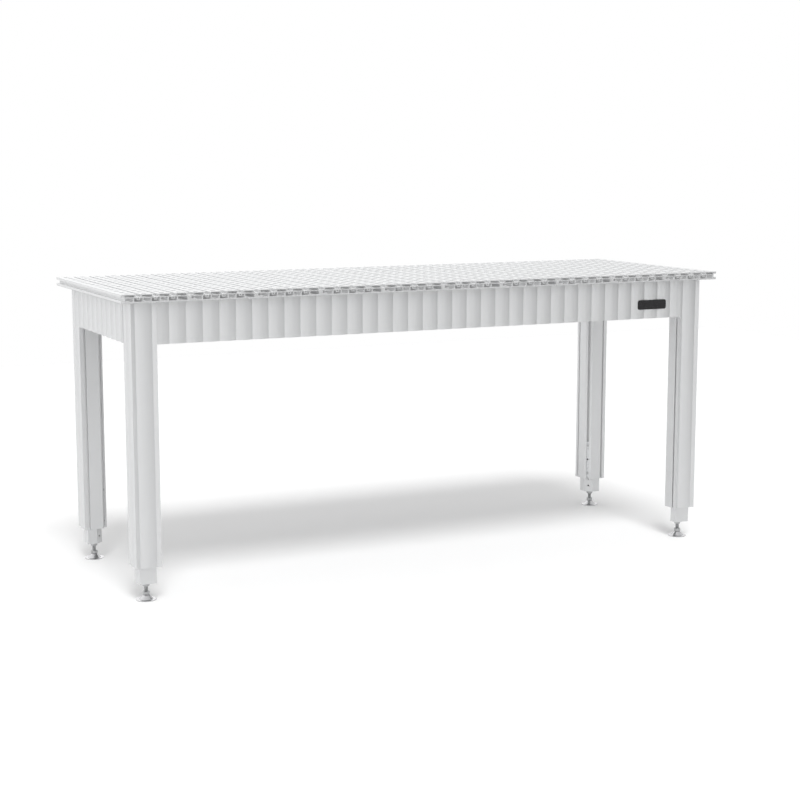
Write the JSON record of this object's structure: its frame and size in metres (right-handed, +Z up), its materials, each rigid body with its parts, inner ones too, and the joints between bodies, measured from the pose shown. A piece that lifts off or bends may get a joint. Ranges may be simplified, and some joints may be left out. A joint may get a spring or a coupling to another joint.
{
  "type": "assembly table",
  "caption": "Aluminium assembly table: slotted plate of joined extrusions, fluted side panels and four telescoping legs on levelling feet",
  "frame": {"origin": "on the floor under the middle of the table", "axes": "+X along the table's length to its right end, +Y from the front to the back, +Z up"},
  "size_m": [2, 0.7, 0.89],
  "materials": {
    "plate_aluminium": "satin",
    "fluted_aluminium": "satin",
    "tube_aluminium": "satin",
    "zinc_steel": "zinc plated",
    "polished_steel": "polished"
  },
  "bodies": {
    "table_frame": {"top_module_01": "plate_aluminium", "top_module_02": "plate_aluminium", "top_module_03": "plate_aluminium", "top_module_04": "plate_aluminium", "top_module_05": "plate_aluminium", "top_module_06": "plate_aluminium", "top_module_07": "plate_aluminium", "top_module_08": "plate_aluminium", "top_module_09": "plate_aluminium", "top_module_10": "plate_aluminium", "fascia_front": "fluted_aluminium", "fascia_right": "fluted_aluminium", "fascia_back": "fluted_aluminium", "fascia_left": "fluted_aluminium", "rail_front": "tube_aluminium", "rail_right": "tube_aluminium", "rail_back": "tube_aluminium", "rail_left": "tube_aluminium", "outer_leg_front_left": "fluted_aluminium", "clamp_bar_front_left": "zinc_steel", "clamp_screws_front_left": "zinc_steel", "corner_brace_front_left": "zinc_steel", "outer_leg_front_right": "fluted_aluminium", "clamp_bar_front_right": "zinc_steel", "clamp_screws_front_right": "zinc_steel", "corner_brace_front_right": "zinc_steel", "outer_leg_back_right": "fluted_aluminium", "clamp_bar_back_right": "zinc_steel", "clamp_screws_back_right": "zinc_steel", "corner_brace_back_right": "zinc_steel", "outer_leg_back_left": "fluted_aluminium", "clamp_bar_back_left": "zinc_steel", "clamp_screws_back_left": "zinc_steel", "corner_brace_back_left": "zinc_steel", "corner_bolts": "zinc_steel", "corner_nuts": "zinc_steel"},
    "leg_tube_front_left": {"inner_tube_front_left": "tube_aluminium", "tube_plug_front_left": "tube_aluminium", "lock_nut_front_left": "zinc_steel"},
    "pad_front_left": {"foot_pad_front_left": "polished_steel"},
    "spindle_front_left": {"foot_spindle_front_left": "zinc_steel"},
    "leg_tube_front_right": {"inner_tube_front_right": "tube_aluminium", "tube_plug_front_right": "tube_aluminium", "lock_nut_front_right": "zinc_steel"},
    "pad_front_right": {"foot_pad_front_right": "polished_steel"},
    "spindle_front_right": {"foot_spindle_front_right": "zinc_steel"},
    "leg_tube_back_right": {"inner_tube_back_right": "tube_aluminium", "tube_plug_back_right": "tube_aluminium", "lock_nut_back_right": "zinc_steel"},
    "pad_back_right": {"foot_pad_back_right": "polished_steel"},
    "spindle_back_right": {"foot_spindle_back_right": "zinc_steel"},
    "leg_tube_back_left": {"inner_tube_back_left": "tube_aluminium", "tube_plug_back_left": "tube_aluminium", "lock_nut_back_left": "zinc_steel"},
    "pad_back_left": {"foot_pad_back_left": "polished_steel"},
    "spindle_back_left": {"foot_spindle_back_left": "zinc_steel"}
  },
  "joints": [
    {"name": "leg_height_front_left", "type": "slide", "parent": "table_frame", "child": "leg_tube_front_left", "axis": [0, 0, -1], "range_m": [-0.05, 0.2]},
    {"name": "foot_level_front_left", "type": "slide", "parent": "leg_tube_front_left", "child": "pad_front_left", "axis": [0, 0, -1], "range_m": [-0.012, 0.035]},
    {"name": "spindle_turn_front_left", "type": "hinge", "parent": "pad_front_left", "child": "spindle_front_left", "pos_m": [-0.925, -0.275, 0.02], "axis": [0, 0, -1], "range_deg": [-2500, 7230]},
    {"name": "leg_height_front_right", "type": "slide", "parent": "table_frame", "child": "leg_tube_front_right", "axis": [0, 0, -1], "range_m": [-0.05, 0.2]},
    {"name": "foot_level_front_right", "type": "slide", "parent": "leg_tube_front_right", "child": "pad_front_right", "axis": [0, 0, -1], "range_m": [-0.012, 0.035]},
    {"name": "spindle_turn_front_right", "type": "hinge", "parent": "pad_front_right", "child": "spindle_front_right", "pos_m": [0.925, -0.275, 0.02], "axis": [0, 0, -1], "range_deg": [-2500, 7230]},
    {"name": "leg_height_back_right", "type": "slide", "parent": "table_frame", "child": "leg_tube_back_right", "axis": [0, 0, -1], "range_m": [-0.05, 0.2]},
    {"name": "foot_level_back_right", "type": "slide", "parent": "leg_tube_back_right", "child": "pad_back_right", "axis": [0, 0, -1], "range_m": [-0.012, 0.035]},
    {"name": "spindle_turn_back_right", "type": "hinge", "parent": "pad_back_right", "child": "spindle_back_right", "pos_m": [0.925, 0.275, 0.02], "axis": [0, 0, -1], "range_deg": [-2500, 7230]},
    {"name": "leg_height_back_left", "type": "slide", "parent": "table_frame", "child": "leg_tube_back_left", "axis": [0, 0, -1], "range_m": [-0.05, 0.2]},
    {"name": "foot_level_back_left", "type": "slide", "parent": "leg_tube_back_left", "child": "pad_back_left", "axis": [0, 0, -1], "range_m": [-0.012, 0.035]},
    {"name": "spindle_turn_back_left", "type": "hinge", "parent": "pad_back_left", "child": "spindle_back_left", "pos_m": [-0.925, 0.275, 0.02], "axis": [0, 0, -1], "range_deg": [-2500, 7230]}
  ],
  "couplings": [
    {"joint": "spindle_turn_front_left", "follows": "foot_level_front_left", "rad_per_m": 3590.4},
    {"joint": "spindle_turn_front_right", "follows": "foot_level_front_right", "rad_per_m": 3590.4},
    {"joint": "spindle_turn_back_right", "follows": "foot_level_back_right", "rad_per_m": 3590.4},
    {"joint": "spindle_turn_back_left", "follows": "foot_level_back_left", "rad_per_m": 3590.4}
  ]
}
